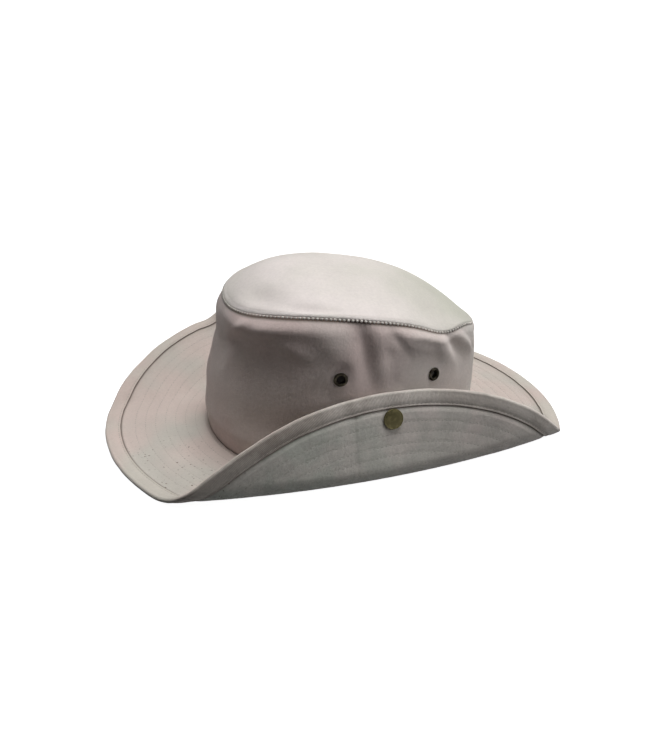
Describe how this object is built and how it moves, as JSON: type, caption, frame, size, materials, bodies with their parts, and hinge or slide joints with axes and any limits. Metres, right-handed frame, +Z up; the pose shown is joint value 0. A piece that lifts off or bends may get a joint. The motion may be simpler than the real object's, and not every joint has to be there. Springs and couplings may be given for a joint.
{
  "type": "wide-brim cotton hat with both brim sides snapped up",
  "caption": "Soft cotton bush hat with a domed crown, vent eyelets, a bound stitched brim and both sides of the brim snapped up to the crown.",
  "frame": {"origin": "on the surface the hat rests on, at the middle of its box in X and Y", "axes": "+Z up, -Y towards the front of the hat, +X towards the wearer's left side"},
  "size_m": [0.2416, 0.3366, 0.1222],
  "materials": {
    "crown_top_cloth": "matt cotton twill, pale stone",
    "crown_side_cloth": "matt cotton twill, pale stone",
    "brim_cloth": "matt cotton twill with rows of stitching round the brim",
    "binding_tape": "ribbed cotton tape",
    "snap_brass": "dark antique brass",
    "eyelet_brass": "dark antique brass"
  },
  "bodies": {
    "root": {"crown_tip": "crown_top_cloth", "crown_side": "crown_side_cloth", "brim": "brim_cloth", "brim_binding": "binding_tape", "eyelet_left_front": "eyelet_brass", "eyelet_left_rear": "eyelet_brass", "eyelet_right_front": "eyelet_brass", "eyelet_right_rear": "eyelet_brass", "snap_cap_left": "snap_brass", "snap_cap_right": "snap_brass", "snap_stud_left": "snap_brass", "snap_stud_right": "snap_brass"}
  },
  "joints": []
}
